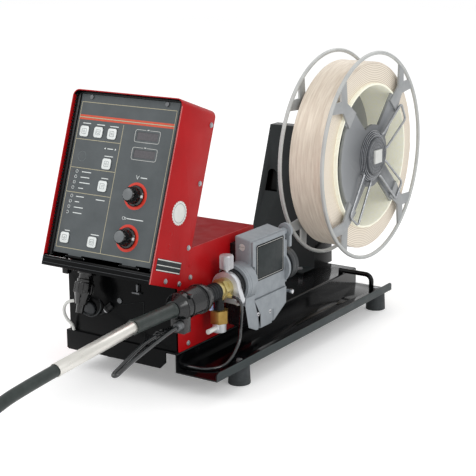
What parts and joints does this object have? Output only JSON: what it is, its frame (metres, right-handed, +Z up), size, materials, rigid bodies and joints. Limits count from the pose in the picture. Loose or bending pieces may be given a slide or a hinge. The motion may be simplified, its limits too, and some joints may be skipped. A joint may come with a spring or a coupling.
{
  "type": "wire feeder",
  "caption": "Bench wire feeder: leaning control case, geared feed head and wire reel on a bent-sheet stand, with gun and cable.",
  "frame": {"origin": "on the floor below the middle of the feeder's length and width, without the gun cable", "axes": "+Z up, +Y from the control panel towards the reel, +X towards the feed head's door"},
  "size_m": [0.3484, 1.77, 0.5527],
  "materials": {
    "red_paint": "satin",
    "black_paint": "gloss",
    "grey_panel": "matt",
    "grey_cast": "satin",
    "rubber_black": "matt",
    "steel": "satin",
    "chrome": "polished",
    "brass": "satin",
    "copper_wire": "bright",
    "reel_grey": "satin",
    "card": "matt",
    "black_plastic": "matt",
    "gloss_black": "gloss",
    "light_plastic": "matt",
    "window": "gloss",
    "board_green": "gloss",
    "white_tube": "satin",
    "aluminium": "satin"
  },
  "bodies": {
    "stand": {"base_frame": "black_paint", "front_plate": "black_paint", "rubber_feet": "rubber_black", "base_bolts": "steel", "rear_handle": "black_paint", "reel_mast": "black_paint", "spindle": "steel", "retaining_collar": "black_plastic", "drive_motor": "steel", "gear_case": "aluminium", "feed_housing": "grey_cast", "mount_flange": "black_plastic", "wire_guides": "black_plastic", "gun_bushing": "light_plastic", "gun_connector": "brass", "gas_valve": "brass", "boot_clamp": "black_plastic", "cable_boots": "rubber_black", "cable_sleeve": "chrome", "gun_cable": "rubber_black", "cable_coil": "rubber_black", "welding_gun": "black_plastic", "trigger_lead": "rubber_black", "sense_lead": "rubber_black", "gas_tube": "white_tube", "case_shell": "red_paint", "rear_cover": "red_paint", "case_floor": "black_paint", "case_screws": "steel", "hinge_pins": "steel", "control_plug": "black_plastic"},
    "reel": {"reel_sides": "reel_grey", "reel_hub": "gloss_black", "coil_liner": "card", "wire_core": "copper_wire", "wire_layer": "copper_wire", "wire_clips": "chrome"},
    "release_bar": {"release_bar": "light_plastic"},
    "drive": {"drive_gear": "steel", "drive_roll": "steel"},
    "rotor": {"motor_pinion": "steel"},
    "idle_arm": {"idle_arm": "aluminium"},
    "idle_roll": {"idle_roll": "steel"},
    "pressure_screw": {"pressure_screw": "steel"},
    "release_lever": {"release_lever": "grey_cast"},
    "feed_door": {"feed_door": "grey_cast"},
    "thumb_screw": {"thumb_screw": "aluminium"},
    "gun_trigger": {"gun_trigger": "black_plastic"},
    "panel": {"front_panel": "grey_panel", "panel_lenses": "window", "control_board": "board_green"},
    "knob_volts": {"knob_volts": "gloss_black"},
    "knob_speed": {"knob_speed": "gloss_black"},
    "key_1": {"key_1": "light_plastic"},
    "key_2": {"key_2": "light_plastic"},
    "key_3": {"key_3": "light_plastic"},
    "key_4": {"key_4": "light_plastic"},
    "key_5": {"key_5": "light_plastic"},
    "key_6": {"key_6": "light_plastic"},
    "key_7": {"key_7": "light_plastic"}
  },
  "joints": [
    {"name": "reel_spin", "type": "hinge", "parent": "stand", "child": "reel", "pos_m": [0.0895, 0.24715, 0.3337], "axis": [1, 0, 0], "continuous": true},
    {"name": "release_bar_slide", "type": "slide", "parent": "stand", "child": "release_bar", "axis": [1, 0, 0], "range_m": [-0.004, 0], "stiffness_N_per_m": 400},
    {"name": "drive_spin", "type": "hinge", "parent": "stand", "child": "drive", "pos_m": [0.1115, -0.18605, 0.1567], "axis": [1, 0, 0], "continuous": true},
    {"name": "motor_spin", "type": "hinge", "parent": "stand", "child": "rotor", "pos_m": [0.0195, -0.23105, 0.1567], "axis": [1, 0, 0], "continuous": true},
    {"name": "idle_arm_lift", "type": "hinge", "parent": "stand", "child": "idle_arm", "pos_m": [0.1235, -0.13605, 0.2], "axis": [1, 0, 0], "range_deg": [-18, 0]},
    {"name": "idle_spin", "type": "hinge", "parent": "idle_arm", "child": "idle_roll", "pos_m": [0.1115, -0.18605, 0.1953], "axis": [1, 0, 0], "continuous": true},
    {"name": "pressure_screw_turn", "type": "hinge", "parent": "stand", "child": "pressure_screw", "pos_m": [0.1115, -0.21305, 0.238], "axis": [0, 1, 0], "range_deg": [-360, 360]},
    {"name": "release_lever_turn", "type": "hinge", "parent": "stand", "child": "release_lever", "pos_m": [0.124, -0.09105, 0.2438], "axis": [0, 1, 0], "range_deg": [-90, 0]},
    {"name": "feed_door_swing", "type": "hinge", "parent": "stand", "child": "feed_door", "pos_m": [0.13385, -0.10855, 0.195], "axis": [0, 0, 1], "range_deg": [0, 110]},
    {"name": "thumb_screw_turn", "type": "hinge", "parent": "stand", "child": "thumb_screw", "pos_m": [0.1115, -0.27505, 0.215], "axis": [0, 0, 1], "range_deg": [-360, 360]},
    {"name": "gun_trigger_pull", "type": "hinge", "parent": "stand", "child": "gun_trigger", "pos_m": [-0.14639, -0.94778, 0.0198], "axis": [0, 0, 1], "range_deg": [-7, 0], "stiffness_Nm_per_rad": 0.3},
    {"name": "panel_swing", "type": "hinge", "parent": "stand", "child": "panel", "pos_m": [-0.0395, -0.44561, 0.2391], "axis": [1, 0, 0], "range_deg": [0, 90]},
    {"name": "volts_turn", "type": "hinge", "parent": "panel", "child": "knob_volts", "pos_m": [0.0097, -0.41729, 0.36103], "axis": [0, -0.9426, 0.3338], "range_deg": [-140, 140]},
    {"name": "speed_turn", "type": "hinge", "parent": "panel", "child": "knob_speed", "pos_m": [0.0083, -0.44225, 0.29053], "axis": [0, -0.9426, 0.3338], "range_deg": [-140, 140]},
    {"name": "key_1_press", "type": "slide", "parent": "panel", "child": "key_1", "axis": [0, 0.9426, -0.3338], "range_m": [0, 0.001], "stiffness_N_per_m": 300},
    {"name": "key_2_press", "type": "slide", "parent": "panel", "child": "key_2", "axis": [0, 0.9426, -0.3338], "range_m": [0, 0.001], "stiffness_N_per_m": 300},
    {"name": "key_3_press", "type": "slide", "parent": "panel", "child": "key_3", "axis": [0, 0.9426, -0.3338], "range_m": [0, 0.001], "stiffness_N_per_m": 300},
    {"name": "key_4_press", "type": "slide", "parent": "panel", "child": "key_4", "axis": [0, 0.9426, -0.3338], "range_m": [0, 0.001], "stiffness_N_per_m": 300},
    {"name": "key_5_press", "type": "slide", "parent": "panel", "child": "key_5", "axis": [0, 0.9426, -0.3338], "range_m": [0, 0.001], "stiffness_N_per_m": 300},
    {"name": "key_6_press", "type": "slide", "parent": "panel", "child": "key_6", "axis": [0, 0.9426, -0.3338], "range_m": [0, 0.001], "stiffness_N_per_m": 300},
    {"name": "key_7_press", "type": "slide", "parent": "panel", "child": "key_7", "axis": [0, 0.9426, -0.3338], "range_m": [0, 0.001], "stiffness_N_per_m": 300}
  ],
  "couplings": [
    {"joint": "motor_spin", "follows": "drive_spin", "ratio": -4},
    {"joint": "idle_spin", "follows": "drive_spin", "ratio": -1}
  ]
}
